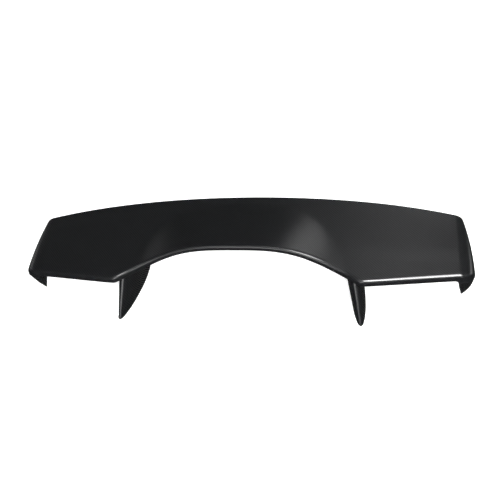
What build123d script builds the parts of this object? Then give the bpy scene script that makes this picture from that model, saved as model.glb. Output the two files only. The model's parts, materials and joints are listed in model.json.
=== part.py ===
"""Carbon rear wing on two uprights: moulded skins, foam cores, alloy brackets and joints.

Frame: millimetres, +Z up, +Y towards the rear of the car, X across the car.
Origin: centre of the four foot bolts, on the plane the feet stand on.
"""
from build123d import *
from math import cos, pi, sin, sqrt
import os

os.makedirs("parts", exist_ok=True)

# ---- driving dimensions (mm) -------------------------------------------------
half_span = 698.0        # widest point of a turned-down end
panel_end = 650.0        # where the panel joins the turned-down end
smooth_end = 390.0       # outboard of this the panel is straight
step = 26.0              # spacing of the sections in the curved centre
plane_height = 162.0     # height of the upper surface at Y = 0
plane_rise = 0.30        # rise of the upper surface per mm towards the rear
corner_x = 377.0         # where the notch meets the straight front edge
corner_y = -90.0         # Y of that corner
notch_depth = 77.0       # how far the front edge sweeps back at the centre
notch_power = 3.7        # how square the notch curve is
front_sweep = 0.085      # sweep of the straight front edge
lift_height = 45.0       # lift of the front edge at the centre
lift_half = 345.0        # half width of the lifted centre
lift_power = 1.6         # how quickly the lift starts at the sides
lip_centre = 170.0       # Y of the crease where the rear lip flicks up
rear_centre = 207.0      # Y of the rear edge at the centre
front_thick = 24.0       # depth of the front face of the side panels
centre_thick = 20.0      # depth of the front face at the centre
rear_thick = 7.0         # depth of the rear edge
nose = 9.0               # radius along the top and bottom of the front edge
skin = 2.0               # laminate thickness of the wing skins
bond = 0.1               # adhesive film around the foam and the ribs
joggle = 16.0            # width of the bonding lip under the front edge
tip_drop = 118.0         # depth of a turned-down end at its deepest point
tip_deep_y = -35.0        # Y of that deepest point
tip_fall = 0.594         # how fast the depth shrinks towards the rear
tip_lean = 0.44          # rearward lean of its front edge per mm of depth
tip_core_end = 124.0     # rear end of the foam inside a turned-down end
rib = 3.0                # thickness of the laminate ribs
bay_in = 326.0           # inboard rib of the bay above an upright
bay_out = 407.0          # outboard rib of that bay
chord_x = 368.1          # X of the upright's mid plane at Y = 0, Z = 0
toe = 0.078              # toe-in of the upright per mm
lean_in = 0.10           # inboard lean of the upright per mm of height
foot_front = -136.5      # front crease of the upright at the foot
foot_rear = 132.0        # rear crease of the upright at the foot
rake = 0.60              # rearward lean of the front crease per mm
foot_half = 21.5         # half width of the upright at the foot
bluntness = 0.5          # how blunt the creases of the upright are
flare = 0.06             # growth of that half width per mm of height
shell = 2.5              # laminate thickness of the upright shells
gasket = 2.0             # closed-cell rubber under the foot
bed = 2.5                # rubber pad between upright and wing
slope = 0.364            # rise of the wing's underside above the uprights
pad_top = 20.0           # top of the alloy foot pad
web = 6.0                # thickness of the bracket web
flange = 6.0             # thickness of the bracket's top flange
plate = 6.0              # tapped plate bedded in the wing
bolt_x = 366.0           # foot bolts, each side of the centre line
bolt_y = 60.0            # foot bolts, in front of and behind the origin
insert_r = 4.5           # outside radius of a threaded insert
insert_len = 16.0        # length of a threaded insert, collar included
tap_r = 2.5              # M6 tapping bore
clear_r = 3.3            # M6 clearance hole
screw_y = (-28.0, 62.0)      # Y of the two screws that hold the wing to one upright
screw_side = -8.0        # their distance from the mid plane, towards the car's centre
screw_len = 16.0         # M6 shank length
head_r = 5.0             # socket head radius
head_len = 6.0           # socket head height
washer_r = 6.0           # plain washer radius
washer_t = 1.6           # plain washer thickness


# ---- shape laws of the wing --------------------------------------------------
def front_y(x):
    """Y of the front edge: a soft-cornered notch between two straight edges."""
    a = notch_depth * (1 - (abs(x) / corner_x) ** notch_power)
    b = front_sweep * (abs(x) - corner_x)
    return corner_y + 0.5 * (a + b + sqrt((a - b) ** 2 + 36.0))


def rear_y(x):
    """Y of the gently bowed rear edge."""
    s = x / 700.0
    return rear_centre - 68.5 * s ** 2 - 18.0 * s ** 4


def lift(x):
    """Lift of the front edge above the plane of the side panels."""
    s = min(abs(x) / lift_half, 1.0)
    return lift_height * cos(0.5 * pi * s ** lift_power) ** 2


def crease_y(x):
    """Y of the valley between the lifted centre and the flat panels."""
    s = min(abs(x) / lift_half, 1.0)
    return lip_centre - 232.0 * s ** 4.2


def top_z(x, y):
    """Height of the upper surface: a sloping plane plus the lifted centre."""
    reach = max(crease_y(x) - front_y(x), 1.0)
    s = (crease_y(x) - y) / reach
    soft = 16.0 / (reach + 16.0)
    ramp = (s + sqrt(s * s + soft * soft)) / (1 + sqrt(1 + soft * soft))
    return plane_height + plane_rise * y + lift(x) * ramp


def thick(x, y):
    """Depth of the section, tapering from the front face to the rear edge."""
    front = front_thick - (front_thick - centre_thick) * lift(x) / lift_height
    return front + (rear_thick - front) * (y - front_y(x)) / (rear_y(x) - front_y(x))


def low_z(x, y):
    """Height of the lower surface."""
    return top_z(x, y) - thick(x, y)


def chord_line(x, y0, y1, height, shift, steps=7):
    """Points from front to rear on a surface moved up or down by a shift."""
    ys = [y0 + (y1 - y0) * i / (steps - 1) for i in range(steps)]
    return [(y, height(x, y) + shift) for y in ys]


def nose_path(x, inset):
    """Points of the rounded front edge, bottom to top, inset into the wing."""
    y = front_y(x) + inset
    r = nose - inset
    k = 0.29 * r
    low0 = (y + r, low_z(x, front_y(x) + nose) + inset)
    low1 = (y + k, low_z(x, y + k) + inset + k)
    low2 = (y, low_z(x, front_y(x)) + nose)
    top0 = (y, top_z(x, front_y(x)) - nose)
    top1 = (y + k, top_z(x, y + k) - inset - k)
    top2 = (y + r, top_z(x, front_y(x) + nose) - inset)
    return low0, low1, low2, top0, top1, top2


def upper_section(x):
    """Upper skin: top, rounded front edge with its bonding lip, and rear edge."""
    yf = front_y(x)
    yr = rear_y(x)
    a = nose_path(x, 0.0)
    b = nose_path(x, skin)
    with BuildSketch(Plane.YZ.offset(x)) as s:
        with BuildLine():
            Line((yf + joggle, low_z(x, yf + joggle)), a[0])
            ThreePointArc(a[0], a[1], a[2])
            Line(a[2], a[3])
            ThreePointArc(a[3], a[4], a[5])
            Spline(*chord_line(x, yf + nose, yr, top_z, 0.0))
            Line((yr, top_z(x, yr)), (yr, low_z(x, yr)))
            Line((yr, low_z(x, yr)), (yr - skin, low_z(x, yr - skin)))
            Line((yr - skin, low_z(x, yr - skin)), (yr - skin, top_z(x, yr - skin) - skin))
            Spline(*chord_line(x, yf + nose, yr - skin, top_z, -skin))
            ThreePointArc(b[5], b[4], b[3])
            Line(b[3], b[2])
            ThreePointArc(b[2], b[1], b[0])
            Line(b[0], (yf + joggle, low_z(x, yf + joggle) + skin))
            Line((yf + joggle, low_z(x, yf + joggle) + skin), (yf + joggle, low_z(x, yf + joggle)))
        make_face()
    return s.sketch


def lower_section(x):
    """Lower skin: a thin lid let in between the bonding lip and the rear edge."""
    y0 = front_y(x) + joggle
    y1 = rear_y(x) - skin
    with BuildSketch(Plane.YZ.offset(x)) as s:
        with BuildLine():
            low = Spline(*chord_line(x, y0, y1, low_z, 0.0))
            top = Spline(*chord_line(x, y0, y1, low_z, skin))
            Line(low @ 0, top @ 0)
            Line(low @ 1, top @ 1)
        make_face()
    return s.sketch


def core_section(x):
    """Everything between the two skins, with its front corners trimmed."""
    b = nose_path(x, skin + bond)
    yr = rear_y(x) - skin - bond
    with BuildSketch(Plane.YZ.offset(x)) as s:
        with BuildLine():
            low = Spline(*chord_line(x, b[0][0], yr, low_z, skin + bond))
            top = Spline(*chord_line(x, b[5][0], yr, top_z, -skin - bond))
            Polyline(low @ 0, b[2], b[3], top @ 0)
            Line(low @ 1, top @ 1)
        make_face()
    return s.sketch


def whole_section(x):
    """Outline of the closed wing, used to trim what touches it from below."""
    a = nose_path(x, 0.0)
    yr = rear_y(x)
    with BuildSketch(Plane.YZ.offset(x)) as s:
        with BuildLine():
            low = Spline(*chord_line(x, a[0][0], yr, low_z, -bond))
            top = Spline(*chord_line(x, a[5][0], yr, top_z, 0.0))
            Line(low @ 0, a[0])
            ThreePointArc(a[0], a[1], a[2])
            Line(a[2], a[3])
            ThreePointArc(a[3], a[4], a[5])
            Line(low @ 1, top @ 1)
        make_face()
    return s.sketch


def stretches(x0, x1):
    """Cut a span at the ends of the curved centre, where the panels begin."""
    cuts = [c for c in (-smooth_end, smooth_end) if x0 < c < x1]
    ends = [x0] + cuts + [x1]
    return list(zip(ends[:-1], ends[1:]))


def even_stations(x0, x1):
    """Evenly spaced stations: close together in the centre, wide on the panels."""
    pitch = step if abs(x0 + x1) / 2 < smooth_end else 2.5 * step
    count = max(1, round((x1 - x0) / pitch))
    return [x0 + (x1 - x0) * i / count for i in range(count + 1)]


def span_body(section, x0, x1):
    """Solid swept through the sections between two spanwise limits."""
    with BuildPart() as body:
        for a, b in stretches(x0, x1):
            loft([section(x) for x in even_stations(a, b)])
    return body.part


# ---- turned-down ends --------------------------------------------------------
def side_x(y):
    """X of the outermost line of the end at a given Y."""
    return half_span - 0.00075 * (y + 50.0) ** 2


def claw_section(y, outer, inner, x0):
    """Hooked outline of the turned-down end at one station along Y."""
    z = plane_height + plane_rise * y
    drop = tip_drop - tip_fall * (y - tip_deep_y)
    k = drop / tip_drop
    xm = side_x(y)
    wide = xm - panel_end - outer
    deep = 12.0 + 22.0 * k - outer
    th = thick(panel_end, y)
    tip_out = xm - 25.0 * k - 1.0
    tip_in = tip_out - 5.0 - 3.0 * k
    fall = drop - deep - outer
    with BuildSketch(Plane.XZ.offset(-y)) as s:
        with BuildLine():
            if x0 < panel_end - 0.1:
                Line((x0, z - outer), (panel_end, z - outer))
            turn = [pi * i / 12 for i in range(7)]
            roll = [(panel_end + wide * sin(a), z - outer - deep * (1 - cos(a))) for a in turn]
            Spline(*roll, tangents=((1, 0), (0, -1)))
            mid = (xm - 7.0 * k - outer, roll[-1][1] - 0.6 * fall)
            end = (tip_out - outer, z - drop + outer)
            Spline(roll[-1], mid, end)
            back = [(tip_in + inner, z - drop + outer), (panel_end + inner, z - th)]
            if x0 < panel_end + inner - 0.1:
                back.append((x0, z - th))
            Polyline(end, *back, (min(x0, panel_end), z - outer))
        make_face()
    return s.sketch


def end_outline(inset, z, shift):
    """Plan outline that trims the front and the rear of the turned-down end."""
    f = front_y(panel_end) + inset + shift
    r = rear_y(panel_end) - inset
    with BuildSketch(Plane.XY.offset(z)) as s:
        with BuildLine():
            Line((640, r + 3), (640, f - 0.8))
            Line((640, f - 0.8), (panel_end, f))
            Spline((panel_end, f), (676, f + 4.5), (692 - inset, f + 15), (701 - inset, f + 34))
            Line((701 - inset, f + 34), (720, 30))
            Line((720, 30), (700, r - 14))
            Line((700, r - 14), (panel_end, r))
            Line((panel_end, r), (640, r + 3))
        make_face()
    return s.sketch


def end_body(outer, inner, x0, y0, y1, inset):
    """Hooked body between two Y stations, trimmed by the plan outline."""
    count = 4
    with BuildPart() as body:
        loft([claw_section(y0 + (y1 - y0) * i / count, outer, inner, x0) for i in range(count + 1)])
        low = end_outline(inset, 0.0, tip_lean * 115.0)
        loft([low, end_outline(inset, 115.0, 0.0), end_outline(inset, 260.0, 0.0)], ruled=True,
             mode=Mode.INTERSECT)
    return body.part


# ---- upright -----------------------------------------------------------------
def mid_x(y, z):
    """X of the upright's mid plane."""
    return chord_x - toe * y - lean_in * z


def blade_section(z, inset):
    """Blunt lens outline of the upright at one height."""
    y0 = foot_front + rake * z + 1.6 * inset
    y1 = foot_rear - 0.09 * z - 1.6 * inset
    half = foot_half + flare * z - inset
    ts = (0.0, 0.02, 0.08, 0.2, 0.36, 0.55, 0.75, 0.91, 0.98, 1.0)
    sides = []
    for sign in (-1, 1):
        pts = []
        for t in ts:
            y = y0 + (y1 - y0) * t
            pts.append((mid_x(y, z) + sign * half * (4 * t * (1 - t)) ** bluntness, y))
        sides.append(pts)
    with BuildSketch(Plane.XY.offset(z)) as s:
        with BuildLine():
            Spline(*sides[0])
            Spline(*sides[1])
        make_face()
    return s.sketch


def blade(z0, z1, inset):
    """Upright body between two heights."""
    with BuildPart() as body:
        loft([blade_section(z0 + (z1 - z0) * i / 4, inset) for i in range(5)])
    return body.part


mid_plane = Plane(origin=(chord_x, 0, 0), x_dir=(-toe, 1, 0), z_dir=(1, toe, lean_in))
top_x = mid_x(15.0, 133.0)
under_z = low_z(top_x, 15.0) - slope * 15.0
under = Plane(origin=(top_x, 0, under_z), x_dir=(1, 0, 0), z_dir=(0, -slope, 1))
seat = under.offset(-bed)


def under_height(y):
    """Height of the plane on which the upright carries the wing."""
    return under_z + slope * y


def screw_marks():
    """The two top screws in the plane of the wing's underside."""
    run = sqrt(1 + slope ** 2)
    return [(mid_x(y, under_height(y)) - top_x + screw_side, y * run) for y in screw_y]


def screw_spots(plane_offset):
    """Centres of the two top screws on a plane parallel to the wing's underside."""
    base = under.offset(plane_offset)
    return [base * Pos(u, v) for u, v in screw_marks()]


def insert_spots(z):
    """Centres of the two threaded inserts of one foot."""
    return [Pos(bolt_x, -bolt_y, z), Pos(bolt_x, bolt_y, z)]


def finish(body, label):
    """Name the right-hand piece and its mirror image and write both."""
    body.label = label + "_right"
    export_step(body, "parts/" + label + "_right.step")
    twin = mirror(body, about=Plane.YZ, mode=Mode.PRIVATE)
    twin.label = label + "_left"
    export_step(twin, "parts/" + label + "_left.step")


# ---- turned-down ends: shell moulded with the upper skin, liner, foam ---------
with BuildPart() as claw_shell:
    add(end_body(0.0, 0.0, panel_end, -82.0, 142.0, 0.0))
    add(end_body(skin, -1.5, panel_end - 5, -82.0, tip_core_end + 1.0, skin), mode=Mode.SUBTRACT)

with BuildPart() as tip_core:
    add(end_body(skin, skin, panel_end, -82.0, tip_core_end, 8.0))
finish(tip_core.part, "tip_core")


def liner_section(y):
    """Thin strip that closes the inner side of a turned-down end."""
    z = plane_height + plane_rise * y
    drop = tip_drop - tip_fall * (y - tip_deep_y)
    k = drop / tip_drop
    tip_in = side_x(y) - 25.0 * k - 1.0 - 5.0 - 3.0 * k
    th = thick(panel_end, y)
    with BuildSketch(Plane.XZ.offset(-y)) as s:
        with BuildLine():
            Polyline((panel_end, z - th), (tip_in, z - drop + skin), (tip_in + skin, z - drop + skin),
                     (panel_end + skin, z - th), close=True)
        make_face()
    return s.sketch


with BuildPart() as tip_liner:
    loft([liner_section(-82.0 + (tip_core_end + 82.0) * i / 4) for i in range(5)])
    low_trim = end_outline(skin, 0.0, tip_lean * 115.0)
    loft([low_trim, end_outline(skin, 115.0, 0.0), end_outline(skin, 260.0, 0.0)], ruled=True,
         mode=Mode.INTERSECT)
finish(tip_liner.part, "tip_liner")

# ---- wing skins --------------------------------------------------------------
with BuildPart() as upper_skin:
    add(span_body(upper_section, -panel_end, panel_end))
    add(claw_shell.part)
    add(mirror(claw_shell.part, about=Plane.YZ, mode=Mode.PRIVATE))
upper_skin.part.label = "upper_skin"
export_step(upper_skin.part, "parts/upper_skin.step")

with BuildPart() as screw_room:
    with Locations(*screw_spots(0.0)):
        Cylinder(clear_r, 60.0)

with BuildPart() as lower_skin:
    add(span_body(lower_section, -panel_end, panel_end))
    add(screw_room.part, mode=Mode.SUBTRACT)
    add(mirror(screw_room.part, about=Plane.YZ, mode=Mode.PRIVATE), mode=Mode.SUBTRACT)
lower_skin.part.label = "lower_skin"
export_step(lower_skin.part, "parts/lower_skin.step")

# ---- foam cores and ribs --------------------------------------------------------
wing_core = span_body(core_section, -panel_end, panel_end)
wing_whole = span_body(whole_section, -panel_end, panel_end)


def slice_core(x0, x1):
    """The part of the wing's core between two spanwise limits."""
    with BuildPart() as cut:
        add(wing_core)
        with Locations(((x0 + x1) / 2, 60.0, 150.0)):
            Box(x1 - x0, 400.0, 300.0, mode=Mode.INTERSECT)
    return cut.part


core_centre = slice_core(-bay_in + bond, bay_in - bond)
core_centre.label = "core_centre"
export_step(core_centre, "parts/core_centre.step")
finish(slice_core(bay_in, bay_in + rib), "rib_inner")
finish(slice_core(bay_out, bay_out + rib), "rib_outer")
finish(slice_core(bay_out + rib + bond, panel_end - rib - bond), "core_panel")
finish(slice_core(panel_end - rib, panel_end), "rib_end")

# ---- tapped plate bedded above each upright, and the foam around it -----------
plate_low = skin * 0.94 + 1.3
with BuildPart() as tapped_plate:
    with BuildSketch(under.offset(plate_low)):
        with Locations((-4.5, 18.3)):
            RectangleRounded(44.0, 132.0, 6.0)
    extrude(amount=plate)
    with Locations(*screw_spots(plate_low + plate / 2)):
        Cylinder(tap_r, 2 * plate, mode=Mode.SUBTRACT)
finish(tapped_plate.part, "tapped_plate")

with BuildPart() as core_bay:
    add(slice_core(bay_in + rib + bond, bay_out - bond))
    with BuildSketch(under.offset(plate_low + plate)):
        with Locations((-4.5, 18.3)):
            RectangleRounded(44.6, 132.6, 6.0)
    extrude(amount=-30, mode=Mode.SUBTRACT)
finish(core_bay.part, "core_bay")

# ---- uprights: two bonded half shells round an alloy bracket -------------------
with BuildPart() as shell_ring:
    add(blade(gasket, 230.0, 0.0))
    add(blade(gasket - 1, 231.0, shell), mode=Mode.SUBTRACT)
    split(bisect_by=seat, keep=Keep.BOTTOM)

with BuildPart() as upright_outer:
    add(shell_ring.part)
    split(bisect_by=mid_plane, keep=Keep.TOP)
finish(upright_outer.part, "upright_outer")

with BuildPart() as upright_inner:
    add(shell_ring.part)
    split(bisect_by=mid_plane, keep=Keep.BOTTOM)
finish(upright_inner.part, "upright_inner")

web_plane = Plane(origin=(chord_x, 0, 0), x_dir=(-toe, 1, 0), z_dir=(1, toe, lean_in)).offset(3.0)
with BuildPart() as bracket:
    with BuildSketch(web_plane) as web_face:
        with BuildLine():
            z0 = under_height(-56.0) - bed - 4.0
            z1 = under_height(86.0) - bed - 4.0
            Polyline((-90, pad_top - 2), (-56, z0), (86, z1), (76, pad_top - 2), close=True)
        make_face()
        with Locations((-40, 66), (2, 72), (44, 78)):
            Circle(15.0, mode=Mode.SUBTRACT)
    extrude(amount=web)
    with BuildSketch(seat):
        with Locations((-2.5, 16.3)):
            Rectangle(70.0, 150.0)
    extrude(amount=-flange)
    with BuildSketch(Plane.XY.offset(gasket)):
        with Locations((chord_x, -15.0)):
            Rectangle(90.0, 200.0)
    extrude(amount=pad_top - gasket)
    add(blade(gasket, 225.0, shell + 0.3), mode=Mode.INTERSECT)
    split(bisect_by=seat, keep=Keep.BOTTOM)
    with Locations(*screw_spots(-bed - 3.0)):
        Cylinder(clear_r, 4 * flange, mode=Mode.SUBTRACT)
    with Locations(*insert_spots(insert_len / 2)):
        Cylinder(insert_r, insert_len, mode=Mode.SUBTRACT)
finish(bracket.part, "bracket")

with BuildPart() as thread_inserts:
    with Locations(*insert_spots(insert_len / 2)):
        Cylinder(insert_r, insert_len)
        Cylinder(tap_r, insert_len, mode=Mode.SUBTRACT)
finish(thread_inserts.part, "thread_inserts")

with BuildPart() as foot_gasket:
    add(blade_section(0.0, 0.0))
    extrude(amount=gasket)
    with Locations(*insert_spots(gasket / 2)):
        Cylinder(insert_r, 3 * gasket, mode=Mode.SUBTRACT)
finish(foot_gasket.part, "foot_gasket")

with BuildPart() as top_pad:
    add(blade(90.0, 230.0, 1.0))
    split(bisect_by=seat, keep=Keep.TOP)
    split(bisect_by=under.offset(4.0), keep=Keep.BOTTOM)
    add(wing_whole, mode=Mode.SUBTRACT)
    with Locations(*screw_spots(0.0)):
        Cylinder(clear_r, 30.0, mode=Mode.SUBTRACT)
finish(top_pad.part, "top_pad")

# ---- screws and washers that hold the wing to the uprights ---------------------
with BuildPart() as top_washers:
    with Locations(*screw_spots(-bed - flange - washer_t / 2)):
        Cylinder(washer_r, washer_t)
        Cylinder(clear_r, washer_t, mode=Mode.SUBTRACT)
finish(top_washers.part, "top_washers")

head_top = -bed - flange - washer_t
with BuildPart() as top_screws:
    with Locations(*screw_spots(head_top - head_len / 2)):
        Cylinder(head_r, head_len)
    with Locations(*screw_spots(head_top + screw_len / 2)):
        Cylinder(tap_r, screw_len)
    with BuildSketch(under.offset(head_top - head_len)):
        with Locations(*screw_marks()):
            RegularPolygon(2.9, 6)
    extrude(amount=3.0, mode=Mode.SUBTRACT)
finish(top_screws.part, "top_screws")
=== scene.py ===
import json

import bmesh
import bpy
import numpy as np
from mathutils import Matrix, Vector


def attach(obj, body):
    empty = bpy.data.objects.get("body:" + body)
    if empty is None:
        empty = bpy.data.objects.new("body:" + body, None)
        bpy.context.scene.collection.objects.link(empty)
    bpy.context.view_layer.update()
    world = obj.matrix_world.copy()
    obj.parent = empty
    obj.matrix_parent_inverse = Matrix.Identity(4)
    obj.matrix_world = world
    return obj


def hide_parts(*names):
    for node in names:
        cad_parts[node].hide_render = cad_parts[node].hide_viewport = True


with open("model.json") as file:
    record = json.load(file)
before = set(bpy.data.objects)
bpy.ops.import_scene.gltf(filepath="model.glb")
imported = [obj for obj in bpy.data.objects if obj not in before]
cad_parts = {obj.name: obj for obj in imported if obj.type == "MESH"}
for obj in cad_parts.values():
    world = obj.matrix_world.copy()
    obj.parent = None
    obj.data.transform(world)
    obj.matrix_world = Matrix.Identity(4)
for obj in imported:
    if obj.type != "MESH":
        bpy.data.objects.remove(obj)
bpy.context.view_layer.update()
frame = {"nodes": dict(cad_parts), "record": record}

# Carbon rear wing on two uprights. The frame's axes: +X across the car, +Y to
# its rear, +Z up, origin between the four foot bolts. The wing's lengths are in
# mm and turned to metres when a mesh is made. The studio's are in metres.

MM = 0.001
HALF_PI = np.pi / 2
REPEATS = 16              # rounds of a repetition that settles a point on its edge

# ---- driving dimensions (mm, slopes in mm per mm) ------------------------------
NOTCH_DEPTH = 77          # how far the front edge sweeps back at the centre
NOTCH_POWER = 3.7         # how square the notch is
CORNER_X = 377            # where the notch meets the straight front edge
CORNER_Y = -90
FRONT_SWEEP = 0.085       # sweep of the straight front edge
REAR_CENTRE = 207         # Y of the rear edge at the centre
LIFT_HEIGHT = 45          # lift of the front edge at the centre
LIFT_HALF = 345           # half width of the lifted centre
VALLEY_Y = 170            # Y of the valley line at the centre
PLANE_Z = 162             # height of the upper surface at Y = 0
PLANE_RISE = 0.30         # its rise towards the rear
SLOPE_LENGTH = 1.044      # length along that slope per mm of Y
FRONT_THICK = 24          # depth of the front face at the side panels
CENTRE_THINNER = 4        # how much shallower it is at the centre
REAR_THICK = 7            # depth of the rear edge
NOSE_TOP = 10             # radius along the top of the front edge
NOSE_LOW = 7              # radius along its bottom
REAR_ROUND = 1.2          # radius along the rear edge
LIP = 16                  # width of the bonding lip under the front edge
HALF_SPAN = 698           # widest point of a turned-down end
TIP_DROP = 118            # depth of a turned-down end at its deepest
TIP_DEEP_Y = -35          # Y of that deepest point
TIP_FALL = 0.594          # how fast the depth shrinks towards the rear
TIP_LEAN = 0.44           # rearward lean of the end's front cut
LEAN_BELOW = 115          # height below which it leans
ROLL_SHARE = 0.42         # share of the outer line taken by the roll
SWEEP_SHARE = 0.58        # share taken by the sweep under it
BEND_SHARE = 0.12         # share of the inner line taken by the fillet
STRAIGHT_SHARE = 0.88     # share taken by the straight below it
LID_SHORT = 11            # how far the lid stops short of the panel's end
UPRIGHT_X = 368.1         # X of the upright's mid plane at Y = 0, Z = 0
TOE_IN = 0.078            # toe-in of the chord
LEAN_IN = 0.10            # inboard lean with height
FOOT_FRONT = -136.5       # Y of the front crease at the foot
FOOT_REAR = 132           # Y of the rear crease at the foot
FRONT_RAKE = 0.60         # rearward lean of the front crease
REAR_RAKE = 0.09          # forward lean of the rear crease
FOOT_HALF = 21.5          # half width of the upright at the foot
FLARE = 0.06              # growth of that half width with height
TOP_X = 353.6             # point of the wing's underside over the upright
TOP_Y = 15.0
TOP_SLOPE = 0.364         # slope of the upright's top
BED = 2.66                # upright height of the rubber bed on that slope
GASKET = 2                # rubber under the foot
EDGE_ROLL = 1.0           # rolled edge at an upright's foot and top

# ---- finish sizes --------------------------------------------------------------
TOW_MM = 2.0              # width of one tow
TOW_RELIEF = 0.00015      # how far a tow stands up in its middle, m


# ---- the wing's laws ---------------------------------------------------------
def front_y(x):
    """Front edge in plan: a notch of depth 77 to the power 3.7 of the distance from
    the centre, met by a straight swept edge in a soft corner."""
    a = NOTCH_DEPTH * (1 - (np.abs(x) / CORNER_X) ** NOTCH_POWER)
    b = FRONT_SWEEP * (np.abs(x) - CORNER_X)
    return CORNER_Y + 0.5 * (a + b + np.sqrt((a - b) ** 2 + 36))


def rear_y(x):
    """Rear edge in plan: a bow of second and fourth order."""
    s = x / 700
    return REAR_CENTRE - 68.5 * s ** 2 - 18 * s ** 4


def lift(x):
    """Lift of the front edge: 45 times a squared cosine of the distance to the power 1.6."""
    s = np.minimum(np.abs(x) / LIFT_HALF, 1)
    return LIFT_HEIGHT * np.cos(HALF_PI * s ** 1.6) ** 2


def crease_y(x):
    """Valley line between the lifted centre and the flat panels."""
    return VALLEY_Y - 232 * np.minimum(np.abs(x) / LIFT_HALF, 1) ** 4.2


def plane_z(y):
    """Plane of the side panels: 162 at Y = 0, rising 0.3 per mm to the rear."""
    return PLANE_Z + PLANE_RISE * y


def top_z(x, y):
    """Upper surface: the panels' plane plus the lift times a ramp that is
    1 at the front edge and fades softly to nothing behind the valley line."""
    reach = np.maximum(crease_y(x) - front_y(x), 1)
    s = (crease_y(x) - y) / reach
    soft = 16 / (reach + 16)
    ramp = (s + np.sqrt(s * s + soft * soft)) / (1 + np.sqrt(1 + soft * soft))
    return plane_z(y) + lift(x) * ramp


def thick(x, y):
    """Depth of the section: linear from the front face to the 7 mm rear edge."""
    front = FRONT_THICK - CENTRE_THINNER * lift(x) / LIFT_HEIGHT
    return front + (REAR_THICK - front) * (y - front_y(x)) / (rear_y(x) - front_y(x))


# ---- the turned-down ends, right hand ------------------------------------------
END = 650.0
EDGE_RADIUS = 1.6
FRONT_END = float(front_y(np.array(END)))
REAR_END = float(rear_y(np.array(END)))


def end_sizes(y):
    """Depth, its share k of the deepest, outermost x and height of the roll at y."""
    drop = TIP_DROP - TIP_FALL * (y - TIP_DEEP_Y)
    k = drop / TIP_DROP
    return drop, k, HALF_SPAN - 0.00075 * (y + 50) ** 2, 12 + 22 * k


def tip_inner_x(k, xm):
    """Inner corner of the tip: the outermost x less the whole sweep of 25k + 1, less the
    5 + 3k between the two lines."""
    return xm - 25 * k - 1 - 5 - 3 * k


def fillet(x, y):
    """Inner corner under the panel: a parabola from 10k mm before the corner to 10k mm
    past it. Returns how far it hangs below the panel at x."""
    drop, k, xm, _ = end_sizes(y)
    f = 10 * k
    run = tip_inner_x(k, xm) - END
    fall = drop - thick(END, y)
    length = np.sqrt(run ** 2 + fall ** 2)
    c, e = f * run / length, f * fall / length
    inside = np.maximum(f * f - (f - c) * np.maximum(np.abs(x) - (END - f), 0), 0)
    s = np.clip((f - np.sqrt(inside)) / (f - c), 0, 1)
    return e * s * s, s


def panel_point(x, t, y):
    """Panel: straight down from the upper surface by the share t of the depth."""
    z = top_z(x, y) - t * (thick(x, y) + fillet(x, y)[0])
    return x + 0 * z, z


def outer_line(g, y):
    """Outer line of the end at one y: a quarter of an ellipse rolls over from the panel,
    then an inward sweep with a square and a cube term. g runs 0 to 1 over the two."""
    drop, k, xm, r = end_sizes(y)
    a = np.clip(g / ROLL_SHARE, 0, 1) * HALF_PI
    w = np.clip((g - ROLL_SHARE) / SWEEP_SHARE, 0, 1)
    sweep = (11.11 * k - 1.5) * w ** 2 + (13.89 * k + 2.5) * w ** 3
    x = END + (xm - END) * np.sin(a) - sweep
    z = plane_z(y) - r * (1 - np.cos(a)) - (drop - EDGE_RADIUS - r) * w
    return x, z


def inner_line(g, y):
    """Inner line of the end at one y: the rest of the fillet, then straight down."""
    drop, k, xm, _ = end_sizes(y)
    th = thick(END, y)
    f = 10 * k
    run, fall = tip_inner_x(k, xm) - END, drop - EDGE_RADIUS - th
    length = np.sqrt(run ** 2 + fall ** 2)
    s0 = fillet(END, y)[1]
    s = s0 + (1 - s0) * np.clip(g / BEND_SHARE, 0, 1)
    h = f / length + (1 - f / length) * np.clip((g - BEND_SHARE) / STRAIGHT_SHARE, 0, 1)
    bent_x = ((END - f) * (1 - s) ** 2 + 2 * END * s * (1 - s)
              + (END + f * run / length) * s ** 2)
    bent_z = plane_z(y) - th - f * fall / length * s ** 2
    straight = g > BEND_SHARE
    x = np.where(straight, END + run * h, bent_x)
    z = np.where(straight, plane_z(y) - th - fall * h, bent_z)
    return x, z


def end_point(g, cap, t, y):
    """Point of the end: the outer and inner lines mixed by t. Past the tip, cap turns
    both through a quarter round (0 to 1) and then to the middle of the edge (2)."""
    xo, zo = outer_line(g, y)
    xi, zi = inner_line(g, y)
    turn = np.minimum(cap, 1) * HALF_PI
    close = np.clip(cap - 1, 0, 1)
    slip = EDGE_RADIUS * (1 - np.cos(turn))
    down = EDGE_RADIUS * np.sin(turn)
    half = (xo - xi) / 2 - slip
    slip = slip + half * close
    xo, xi = xo - slip, xi + slip
    return xo + t * (xi - xo), zo + t * (zi - zo) - down


def end_front(x, z):
    """Front cut of the end: a cubic through four plan points, leaning back 0.44 per mm
    below z = 115."""
    chord = np.array([0, 26.4, 45.5, 66.6])
    fine = np.linspace(0, 66.6, 60)
    xs = np.polyval(np.polyfit(chord, [650, 676, 692, 701], 3), fine)
    ys = np.polyval(np.polyfit(chord, [0, 4.5, 15, 34], 3), fine)
    return FRONT_END + np.interp(x, xs, ys) + TIP_LEAN * np.maximum(LEAN_BELOW - z, 0)


def end_rear(x, z):
    """Rear cut of the end: straight, 14 mm forward in 50 mm outboard."""
    return REAR_END - 14 * np.maximum(x - END, 0) / 50 + 0 * z


def settle(point, edge, t, offset):
    """y at which the point with this t lies an offset behind its edge, by repetition."""
    y = edge(*point(t, 0.0)) + offset
    for _ in range(REPEATS):
        y = edge(*point(t, y)) + offset
    return y


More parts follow.
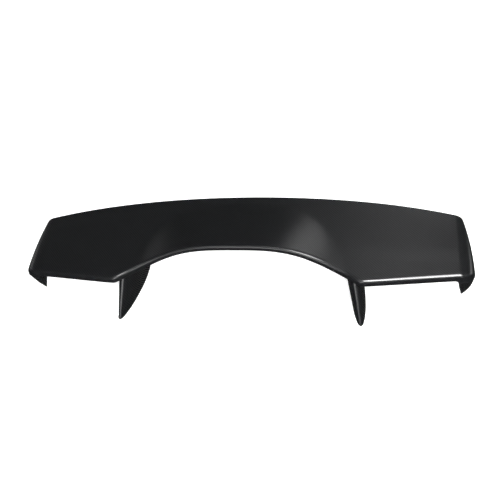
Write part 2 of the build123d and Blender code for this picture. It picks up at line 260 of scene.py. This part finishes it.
# ---- rows round a closed section -------------------------------------------------
def section_rows(point, depth_at, front, rear, rows):
    """Points of the chosen rows. A row is (kind, value): 'top' and 'low' run along the
    two faces, 'nose_top', 'nose_low', 'rear_top' and 'rear_low' are quarter rounds with
    the value as angle, 'face' and 'wall' run down the front and the rear, and 'lip' runs
    back under the front edge by the value in mm."""
    yf = settle(point, front, 0.0, 0.0)
    yr = settle(point, rear, 0.0, 0.0)
    deep_f, deep_r = depth_at(yf), depth_at(yr)
    n, m = np.minimum(NOSE_TOP, 0.45 * deep_f), np.minimum(NOSE_LOW, 0.33 * deep_f)
    e = np.minimum(REAR_ROUND, 0.3 * deep_r)
    out = []
    for kind, v in rows:
        c, s = np.cos(v), np.sin(v)
        if kind == "top":
            y = (yf + n) + (yr - e - yf - n) * v
            t = 0 * y
        elif kind == "low":
            a = settle(point, front, 1.0, LIP + 0.5)
            b = settle(point, rear, 1.0, -e - 0.5)
            y = a + (b - a) * v
            t = 1 + 0 * y
        elif kind == "lip":
            t = 1 + 0 * m
            y = settle(point, front, t, m + (LIP - m) * v)
        elif kind in ("nose_top", "face", "nose_low"):
            d = {"nose_top": n * (1 - c), "face": n + (deep_f - n - m) * v,
                 "nose_low": deep_f - m * (1 - c)}[kind]
            t = d / deep_f
            back = {"nose_top": n, "face": 0 * n, "nose_low": m}[kind] * (1 - s)
            y = settle(point, front, t, back)
        else:
            d = {"rear_top": e * (1 - c), "wall": e + (deep_r - 2 * e) * v,
                 "rear_low": deep_r - e * (1 - c)}[kind]
            t = d / deep_r
            y = settle(point, rear, t, 0 * e if kind == "wall" else -e * (1 - s))
        x, z = point(t, y)
        out.append(np.stack(np.broadcast_arrays(x, y, z), -1))
    return np.concatenate(out, axis=1)


def wing_grid(rows, half_panel, end_columns, cap_columns):
    """Columns across the whole wing: left end, panel, right end, as one grid of points.
    U is the length across and V the length along the rows, so cloth follows the form."""
    inner = np.linspace(0, 400, 84)
    x = np.concatenate([inner, np.linspace(400, half_panel - 24, 26)[1:],
                        np.linspace(half_panel - 24, half_panel, 13)[1:]])
    x = np.concatenate([-x[::-1], x[1:]])[:, None]
    end = None
    if end_columns is not None:
        g = np.concatenate([end_columns, np.ones(len(cap_columns))])[:, None]
        cap = np.concatenate([0 * end_columns, cap_columns])[:, None]

        def depth_at(y):
            (xo, zo), (xi, zi) = outer_line(g, y), inner_line(g, y)
            return np.hypot(xo - xi, zo - zi)

        end = section_rows(lambda t, y: end_point(g, cap, t, y), depth_at, end_front,
                           end_rear, rows)
    panel = section_rows(lambda t, y: panel_point(x, t, y),
                         lambda y: thick(x, y) + fillet(x, y)[0],
                         lambda px, pz: front_y(px), lambda px, pz: rear_y(px), rows)
    u = np.broadcast_to(x, panel.shape[:2])
    if end is not None:
        seam = np.concatenate([panel[-1:], end])
        across = np.cumsum(np.hypot(*np.moveaxis(np.diff(seam[..., [0, 2]], axis=0), -1, 0)), 0)
        left = end[::-1] * (-1, 1, 1)
        grid = np.concatenate([left, panel, end])
        u = np.concatenate([-(END + across)[::-1], u, END + across])
    else:
        grid = panel
    return grid, np.stack([u, cloth_length(grid)], -1)


def cloth_length(grid):
    """V: the slope length at the first row, then length run along each column."""
    run = np.linalg.norm(np.diff(grid[..., 1:], axis=1), axis=-1)
    dy = np.diff(grid[..., 1], axis=1)
    slopes = np.abs(dy) > 0.9 * run
    run = np.where(slopes, SLOPE_LENGTH * np.abs(dy), run)
    v = np.concatenate([0 * grid[:, :1, 1], np.cumsum(run, axis=1)], axis=1)
    return SLOPE_LENGTH * grid[:, :1, 1] - v


# ---- meshes ------------------------------------------------------------------------
def grid_mesh(name, grid, cloth, outward, thickness, replaced):
    """Closed shell from a grid: quads between neighbours, turned so that the middle of
    the grid looks along outward, poles merged, then given its laminate thickness."""
    nu, nv = grid.shape[:2]
    index = np.arange(nu * nv).reshape(nu, nv)
    quads = np.stack([index[:-1, :-1], index[1:, :-1], index[1:, 1:], index[:-1, 1:]], -1)
    i, j = nu // 2, nv // 2
    across, along = grid[i + 1, j] - grid[i, j], grid[i, j + 1] - grid[i, j]
    if np.dot(np.cross(across, along), outward) < 0:
        quads = quads[..., ::-1]
    mesh = bpy.data.meshes.new(name)
    mesh.from_pydata((grid.reshape(-1, 3) * MM).tolist(), [], quads.reshape(-1, 4).tolist())
    at = np.zeros(len(mesh.loops), int)
    mesh.loops.foreach_get("vertex_index", at)
    layer = mesh.uv_layers.new(name="cloth")
    layer.data.foreach_set("uv", (cloth.reshape(-1, 2) * MM)[at].ravel())
    tidy = bmesh.new()
    tidy.from_mesh(mesh)
    bmesh.ops.remove_doubles(tidy, verts=tidy.verts, dist=2e-6)
    bmesh.ops.dissolve_degenerate(tidy, edges=tidy.edges, dist=1e-6)
    tidy.to_mesh(mesh)
    tidy.free()
    mesh.shade_smooth()
    obj = bpy.data.objects.new(name.replace(" ", "_"), mesh)
    bpy.context.scene.collection.objects.link(obj)
    wall = obj.modifiers.new("laminate", "SOLIDIFY")
    wall.thickness = thickness * MM
    wall.offset = -1
    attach(obj, "root")
    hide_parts(*replaced)
    return obj


def arc_rows(kind, count, back=False):
    """Rows of a quarter round, from the face it leaves to the face it joins."""
    angles = np.linspace(0, HALF_PI, count)
    return [(kind, a) for a in (angles[::-1] if back else angles)]


def along_rows(kind, count, first, last):
    """Rows spread evenly along a face."""
    return [(kind, v) for v in np.linspace(first, last, count)]


# ---- uprights, right hand ------------------------------------------------------------
WING_UNDERSIDE = float(top_z(np.array(TOP_X), TOP_Y) - thick(np.array(TOP_X), TOP_Y))
UNDER = WING_UNDERSIDE - TOP_SLOPE * TOP_Y


def blade_point(t, side, z):
    """Upright at one height: chord line leaning in with z and toed in with y, and a half
    width of 21.5 + 0.06 z times the root of 4 t (1 - t) on either side."""
    y0, y1 = FOOT_FRONT + FRONT_RAKE * z, FOOT_REAR - REAR_RAKE * z
    y = y0 + (y1 - y0) * t
    half = (FOOT_HALF + FLARE * z) * (4 * t * (1 - t)) ** 0.5
    return UPRIGHT_X - TOE_IN * y - LEAN_IN * z + side * half, y


def upright_grid(side):
    """One half shell: t across the chord, closely spaced at the two creases, and h from
    the foot to the rubber bed under the wing, with rolled edges top and bottom."""
    t = (0.5 - 0.5 * np.cos(np.linspace(0, np.pi, 90)))[:, None]
    roll = np.linspace(0, HALF_PI, 5)
    z = np.full((90, 1), 100.0)
    for _ in range(REPEATS):
        z = UNDER + TOP_SLOPE * blade_point(t, side, z)[1] - BED
    h = np.linspace(0, 1, 60)[None, :]
    low, high = GASKET + EDGE_ROLL, z - EDGE_ROLL
    heights = np.concatenate([low - np.sin(roll[::-1])[None, :-1] + 0 * t,
                              low + (high - low) * h,
                              high + np.sin(roll)[None, 1:] + 0 * t], axis=1)
    inset = np.concatenate([1 - np.cos(roll[::-1])[:-1], np.zeros(60), 1 - np.cos(roll)[1:]])
    x, y = blade_point(t, side, heights)
    x = x - side * inset[None, :] * (4 * t * (1 - t)) ** 0.25
    grid = np.stack([x, y, heights], -1)
    run = np.linalg.norm(np.diff(grid[..., :2], axis=0), axis=-1)
    u = np.concatenate([np.zeros((1, heights.shape[1])), np.cumsum(run[:, 30:31] + 0 * run, 0)])
    return grid, np.stack([u, heights], -1)


# ---- materials -------------------------------------------------------------------------
def linear(hex_code):
    """sRGB hex to linear RGBA."""
    c = np.array([int(hex_code[i:i + 2], 16) for i in (1, 3, 5)]) / 255
    return tuple(np.where(c <= 0.04045, c / 12.92, ((c + 0.055) / 1.055) ** 2.4)) + (1.0,)


def node(tree, kind, settings=None, **links):
    """Add a node, set its fields, then its sockets: a value or an output to link."""
    made = tree.nodes.new(kind)
    for key, value in (settings or {}).items():
        setattr(made, key, value)
    for key, value in links.items():
        name = key.replace("_", " ")
        socket = made.inputs[int(name[3:]) if name.startswith("in ") else name]
        if isinstance(value, bpy.types.NodeSocket):
            tree.links.new(value, socket)
        else:
            socket.default_value = value
    return made


def finish_material(name):
    """A fresh material with its Principled shader."""
    mat = bpy.data.materials.new(name)
    mat.use_nodes = True
    return mat, mat.node_tree, mat.node_tree.nodes["Principled BSDF"]


def math_node(tree, operation, a, b=0.0):
    """One Math node."""
    return node(tree, "ShaderNodeMath", {"operation": operation}, in_0=a, in_1=b).outputs[0]


def ramp_colour(tree, factor, low, high):
    """Colour between two hex codes."""
    mix = node(tree, "ShaderNodeMix", {"data_type": "RGBA"})
    mix.inputs[6].default_value = linear(low)
    mix.inputs[7].default_value = linear(high)
    tree.links.new(factor, mix.inputs[0])
    return mix.outputs[2]


def twill(tree, coordinate, tow_mm):
    """2x2 twill of tows tow_mm wide: a cell shows the warp when column plus row, modulo
    four, is below two. Returns that mask and the crown of the tow that is on top."""
    scaled = node(tree, "ShaderNodeMapping", Vector=coordinate)
    scaled.inputs["Scale"].default_value = (1000 / tow_mm,) * 3
    axes = node(tree, "ShaderNodeSeparateXYZ", Vector=scaled.outputs[0])
    column, row = axes.outputs[0], axes.outputs[1]
    total = math_node(tree, "ADD", math_node(tree, "FLOOR", column), math_node(tree, "FLOOR", row))
    warp = math_node(tree, "LESS_THAN", math_node(tree, "FLOORED_MODULO", total, 4.0), 2.0)
    crown_x = math_node(tree, "SINE", math_node(tree, "MULTIPLY", math_node(tree, "FRACT", column), np.pi))
    crown_y = math_node(tree, "SINE", math_node(tree, "MULTIPLY", math_node(tree, "FRACT", row), np.pi))
    pick = node(tree, "ShaderNodeMix", {"data_type": "FLOAT"}, in_0=warp, in_2=crown_y,
                in_3=crown_x)
    return warp, pick.outputs[0]


def clear_coated_carbon(name):
    """2x2 twill carbon, 2 mm tows, resin-rich and clear coated: nearly black cloth under a smooth glossy
    film.
    The warp tows are painted lighter than the weft as a painted sheen, and each tow is painted darker
    towards its edges as painted shade between the tows."""
    mat, tree, shader = finish_material(name)
    uv = node(tree, "ShaderNodeUVMap", {"uv_map": "cloth"}).outputs[0]
    warp, crown = twill(tree, uv, TOW_MM)
    cloud = node(tree, "ShaderNodeTexNoise", Vector=uv, Scale=14.0, Detail=3.0).outputs[0]
    # painted sheen: warp tows painted lighter than the weft, in place of the tows' directional reflection
    painted_tow_sheen = ramp_colour(tree, warp, "#030303", "#1f2022")
    # painted shade: each tow painted darker towards its edges, in the grooves between the tows
    painted_groove_shade = ramp_colour(tree, crown, "#9a9a9a", "#ffffff")
    tone = ramp_colour(tree, cloud, "#e2e4e6", "#ffffff")
    first = node(tree, "ShaderNodeMix", {"data_type": "RGBA", "blend_type": "MULTIPLY"},
                 in_0=1.0, in_6=painted_tow_sheen, in_7=painted_groove_shade).outputs[2]
    colour = node(tree, "ShaderNodeMix", {"data_type": "RGBA", "blend_type": "MULTIPLY"},
                  in_0=1.0, in_6=first, in_7=tone).outputs[2]
    rough = node(tree, "ShaderNodeMapRange", Value=warp, To_Min=0.5, To_Max=0.32).outputs[0]
    bump = node(tree, "ShaderNodeBump", Height=crown, Strength=0.5, Distance=TOW_RELIEF)
    tree.links.new(colour, shader.inputs["Base Color"])
    tree.links.new(rough, shader.inputs["Roughness"])
    tree.links.new(bump.outputs[0], shader.inputs["Normal"])
    shader.inputs["IOR"].default_value = 1.5
    shader.inputs["Specular IOR Level"].default_value = 0.3
    shader.inputs["Coat Weight"].default_value = 1.0
    shader.inputs["Coat Roughness"].default_value = 0.035
    shader.inputs["Coat IOR"].default_value = 1.52
    return mat


def raw_carbon(name):
    """Uncoated woven laminate, as cut from sheet: matte black with a dull weave, its warp tows painted
    lighter than the weft as a painted sheen.
    """
    mat, tree, shader = finish_material(name)
    place = node(tree, "ShaderNodeTexCoord").outputs["Object"]
    turned = node(tree, "ShaderNodeMapping", Vector=place)
    turned.inputs["Rotation"].default_value = (0, HALF_PI, 0)
    warp, crown = twill(tree, turned.outputs[0], TOW_MM)
    # painted sheen: warp tows painted lighter than the weft
    tree.links.new(ramp_colour(tree, warp, "#1c1d1e", "#303234"), shader.inputs["Base Color"])
    bump = node(tree, "ShaderNodeBump", Height=crown, Strength=0.5, Distance=TOW_RELIEF)
    tree.links.new(bump.outputs[0], shader.inputs["Normal"])
    grain = node(tree, "ShaderNodeTexNoise", Vector=place, Scale=300.0, Detail=4.0).outputs[0]
    rough = node(tree, "ShaderNodeMapRange", Value=grain, To_Min=0.5, To_Max=0.72).outputs[0]
    tree.links.new(rough, shader.inputs["Roughness"])
    return mat


def grained(name, low, high, scale, rough, bump_mm, metallic=0.0, stretch=(1, 1, 1), cells=False):
    """A finish whose colour, roughness and relief follow one noise: grain or bubbles per
    metre by scale, drawn out along an axis by stretch."""
    mat, tree, shader = finish_material(name)
    place = node(tree, "ShaderNodeTexCoord").outputs["Object"]
    drawn = node(tree, "ShaderNodeMapping", Vector=place)
    drawn.inputs["Scale"].default_value = stretch
    kind = "ShaderNodeTexVoronoi" if cells else "ShaderNodeTexNoise"
    grain = node(tree, kind, Vector=drawn.outputs[0], Scale=scale)
    wide = node(tree, "ShaderNodeTexNoise", Vector=place, Scale=scale / 14, Detail=3.0)
    mixed = node(tree, "ShaderNodeMix", {"data_type": "FLOAT"}, in_0=0.35,
                 in_2=grain.outputs[0], in_3=wide.outputs[0]).outputs[0]
    tree.links.new(ramp_colour(tree, mixed, low, high), shader.inputs["Base Color"])
    span = node(tree, "ShaderNodeMapRange", Value=mixed, To_Min=rough[0], To_Max=rough[1])
    tree.links.new(span.outputs[0], shader.inputs["Roughness"])
    bump = node(tree, "ShaderNodeBump", Height=grain.outputs[0], Strength=0.4,
                Distance=bump_mm * MM)
    tree.links.new(bump.outputs[0], shader.inputs["Normal"])
    shader.inputs["Metallic"].default_value = metallic
    return mat


coated = clear_coated_carbon("clear-coated 2x2 twill carbon")
laminate = raw_carbon("raw woven laminate")
# closed-cell EPDM rubber: skinned black sheet with a fine matte grain
rubber = grained("EPDM rubber sheet", "#101010", "#1c1c1d", 900, (0.62, 0.85), 0.05)
# structural PVC foam: pale straw, cells about half a millimetre across
foam = grained("PVC structural foam", "#c9b98a", "#e2d6ae", 1800, (0.8, 0.95), 0.2, cells=True)
# machined aluminium: bright grey with cutter lines drawn out along the bracket
alloy = grained("machined aluminium", "#a9abad", "#c8cacc", 1500, (0.24, 0.42), 0.02, 1.0,
                (1, 0.06, 1))
# zinc-plated steel: a faint bluish, slightly blotchy plating
zinc = grained("zinc-plated steel", "#9c9fa2", "#bfc4ca", 700, (0.22, 0.4), 0.01, 1.0)

FINISHES = {"wing_carbon": coated, "under_carbon": coated, "upright_carbon": coated,
            "rib_laminate": laminate, "foam": foam, "alloy": alloy, "pad_rubber": rubber,
            "screw_steel": zinc, "insert_steel": zinc}


# ---- build the carbon pieces -------------------------------------------------------------
ends = np.concatenate([np.linspace(0, ROLL_SHARE, 23)[1:], np.linspace(ROLL_SHARE, 1, 27)[1:]])
caps = np.array([0.25, 0.5, 0.75, 1.0, 1.5, 2.0])

upper_rows = (arc_rows("rear_low", 4) + along_rows("wall", 2, 0.66, 0.33)
              + arc_rows("rear_top", 4, back=True)
              + along_rows("top", 72, 1, 0)[1:] + arc_rows("nose_top", 8)[1:]
              + along_rows("face", 6, 0, 1)[1:-1] + arc_rows("nose_low", 8, back=True)
              + along_rows("lip", 4, 0, 1)[1:])
grid, cloth = wing_grid(upper_rows, END, ends, caps)
upper = grid_mesh("upper skin shell", grid, cloth, (0, 0, 1), 1.2, ["upper_skin"])

low_rows = along_rows("low", 64, 1, 0)
grid, cloth = wing_grid(low_rows, END - LID_SHORT, None, None)
lower = grid_mesh("lower skin lid", grid, cloth, (0, 0, -1), 1.6, ["lower_skin"])

side_parts = []
for sign, side_name in ((1, "right"), (-1, "left")):
    g = np.concatenate([np.linspace(0, BEND_SHARE, 6), np.linspace(BEND_SHARE, 1, 40)[1:],
                        np.ones(len(caps))])[:, None]
    cap = np.concatenate([np.zeros(45), caps])[:, None]

    def liner_depth(y, g=g):
        (xo, zo), (xi, zi) = outer_line(g, y), inner_line(g, y)
        return np.hypot(xo - xi, zo - zi)

    grid = section_rows(lambda t, y: end_point(g, cap, t, y), liner_depth, end_front, end_rear,
                        low_rows)
    fill_x = (END - LID_SHORT + 0.6 + 10.4 * np.linspace(0, 1, 8)[:-1])[:, None]
    strip = section_rows(lambda t, y: panel_point(fill_x, t, y),
                         lambda y: thick(fill_x, y) + fillet(fill_x, y)[0],
                         lambda px, pz: front_y(px), lambda px, pz: rear_y(px), low_rows)
    grid = np.concatenate([strip, grid])
    run = np.hypot(*np.moveaxis(np.diff(grid[..., [0, 2]], axis=0), -1, 0))
    u = np.concatenate([0 * grid[:1, :, 0], np.cumsum(run, 0)]) + END - LID_SHORT
    grid = grid * (sign, 1, 1)
    cloth = np.stack([sign * u, cloth_length(grid)], -1)
    liner = grid_mesh("end liner " + side_name, grid, cloth, (-sign, 0, -0.2), 1.2,
                      ["tip_liner_" + side_name])
    side_parts.append(liner)
    for face, label in ((1, "outer"), (-1, "inner")):
        grid, cloth = upright_grid(face)
        half = grid_mesh("upright " + label + " " + side_name, grid * (sign, 1, 1), cloth,
                         (sign * face, 0, 0), 1.5, ["upright_" + label + "_" + side_name])
        side_parts.append(half)

for obj in [upper, lower] + side_parts:
    obj.data.materials.append(coated)

for part in frame["record"]["subparts"]:
    mesh = frame["nodes"][part["node"]].data
    mesh.materials.clear()
    mesh.materials.append(FINISHES[part["material_slot"]])


# ---- floor, light and camera ---------------------------------------------------------------
def studio_floor():
    """Pale floor that curves up into a round wall: a straight line out to 6 m, a quarter
    round of 2.5 m and a wall to 8 m, turned once round the upright axis."""
    bend = np.linspace(0, HALF_PI, 12)
    radius = np.concatenate([[0, 1.5, 3, 4.5], 6 + 2.5 * np.sin(bend), [8.5]])
    height = np.concatenate([[0, 0, 0, 0], 2.5 * (1 - np.cos(bend)), [8]])
    angle = np.linspace(0, 2 * np.pi, 97)[:, None]
    grid = np.stack([radius * np.cos(angle), radius * np.sin(angle), height + 0 * angle], -1)
    index = np.arange(grid.shape[0] * grid.shape[1]).reshape(grid.shape[:2])
    quads = np.stack([index[:-1, :-1], index[:-1, 1:], index[1:, 1:], index[1:, :-1]], -1)
    mesh = bpy.data.meshes.new("floor")
    mesh.from_pydata(grid.reshape(-1, 3).tolist(), [], quads.reshape(-1, 4).tolist())
    mesh.shade_smooth()
    mat, tree, shader = finish_material("pale studio floor")
    shader.inputs["Base Color"].default_value = linear("#f4f4f4")
    shader.inputs["Roughness"].default_value = 0.9
    shader.inputs["Specular IOR Level"].default_value = 0.1
    shader.inputs["Emission Color"].default_value = linear("#ffffff")
    shader.inputs["Emission Strength"].default_value = 0.55
    under = node(tree, "ShaderNodeNewGeometry").outputs["Backfacing"]
    clear = node(tree, "ShaderNodeBsdfTransparent")
    both = node(tree, "ShaderNodeMixShader", in_0=under, in_1=shader.outputs[0],
                in_2=clear.outputs[0])
    tree.links.new(both.outputs[0], tree.nodes["Material Output"].inputs["Surface"])
    mesh.materials.append(mat)
    obj = bpy.data.objects.new("floor", mesh)
    bpy.context.scene.collection.objects.link(obj)
    return obj


def feathered_card(name, place, aim, half_width, half_height, strength):
    """Gauze card lit from behind, facing its aim: its glow fades smoothly from the middle
    to nothing at the edge of an ellipse, so its mirror image has no hard border."""
    mesh = bpy.data.meshes.new(name)
    mesh.from_pydata([(-1, -1, 0), (-1, 1, 0), (1, 1, 0), (1, -1, 0)], [], [(0, 1, 2, 3)])
    mat, tree, shader = finish_material(name)
    tree.nodes.remove(shader)
    place_on_card = node(tree, "ShaderNodeTexCoord").outputs["Object"]
    reach = node(tree, "ShaderNodeVectorMath", {"operation": "LENGTH"}, in_0=place_on_card)
    glow = node(tree, "ShaderNodeMapRange", {"interpolation_type": "SMOOTHSTEP"},
                Value=reach.outputs["Value"], in_1=1.0, in_2=0.15, in_3=0.0, in_4=strength)
    lamp = node(tree, "ShaderNodeEmission", Strength=glow.outputs[0])
    clear = node(tree, "ShaderNodeBsdfTransparent")
    both = node(tree, "ShaderNodeAddShader", in_0=lamp.outputs[0], in_1=clear.outputs[0])
    tree.links.new(both.outputs[0], tree.nodes["Material Output"].inputs["Surface"])
    mesh.materials.append(mat)
    obj = bpy.data.objects.new(name.replace(" ", "_"), mesh)
    obj.location = place
    obj.rotation_euler = (Vector(aim) - Vector(place)).to_track_quat("Z", "Y").to_euler()
    obj.scale = (half_width, half_height, 1)
    obj.visible_camera = False
    bpy.context.scene.collection.objects.link(obj)
    return obj


# the floor lights the wing but leaves no mirror image in the clear coat
floor = studio_floor()
floor.visible_glossy = False
# each card: place, the point it faces, half width, half height, glow in its middle
cards = [
    feathered_card("overhead rear card", (0.68, 0.94, 1.5), (0.68, 0.94, 0), 0.60, 0.55, 1.10),
    feathered_card("overhead card", (0.62, 0.15, 1.5), (0.62, 0.15, 0), 0.66, 0.55, 0.72),
    feathered_card("wide card", (0.50, 0.70, 1.5), (0.50, 0.70, 0), 0.70, 1.00, 0.22),
    feathered_card("left card", (-1.75, 0.90, 1.5), (-1.75, 0.90, 0), 0.75, 0.50, 0.20),
    feathered_card("front right card", (1.00, -1.90, 1.95), (0.5, 0, 0.15), 0.90, 1.05, 24.0),
    feathered_card("front centre card", (0.50, -1.90, 1.95), (0.3, 0, 0.15), 0.42, 0.90, 15.0),
    feathered_card("front top card", (0.95, -0.95, 2.10), (0.5, -0.1, 0.2), 0.50, 0.70, 10.0),
    feathered_card("front left card", (-0.80, -1.80, 2.00), (0, 0, 0.15), 0.62, 0.70, 1.5),
    feathered_card("low front card", (-0.20, -1.70, 0.40), (0, 0, 0.12), 1.2, 0.36, 4.0),
    feathered_card("right side card", (2.20, 0.40, 0.60), (0.6, 0, 0.15), 0.8, 0.45, 1.6),
    feathered_card("left side card", (-2.20, 0.40, 0.60), (-0.6, 0, 0.15), 0.8, 0.45, 0.6),
]

world = bpy.data.worlds.new("studio")
world.use_nodes = True
sky = world.node_tree.nodes["Background"]
sky.inputs["Color"].default_value = linear("#ffffff")
sky.inputs["Strength"].default_value = 0.03
bpy.context.scene.world = world
bpy.context.scene.view_settings.view_transform = "Standard"

# the camera looks down from the front, right of the middle, rolled a little
CAMERA_PLACE = (0.4332, -1.3862, 1.3856)
camera = bpy.data.objects.new("camera", bpy.data.cameras.new("camera"))
camera.data.sensor_width = 36
camera.data.lens = 44.67
right = Vector((0.979, 0.157, -0.132)).normalized()
back = Vector((0.205, -0.738, 0.643))
back = (back - right * back.dot(right)).normalized()
up = back.cross(right)
turn = Matrix((right, up, back)).transposed().to_4x4()
camera.matrix_world = Matrix.Translation(CAMERA_PLACE) @ turn
bpy.context.scene.collection.objects.link(camera)
bpy.context.scene.camera = camera
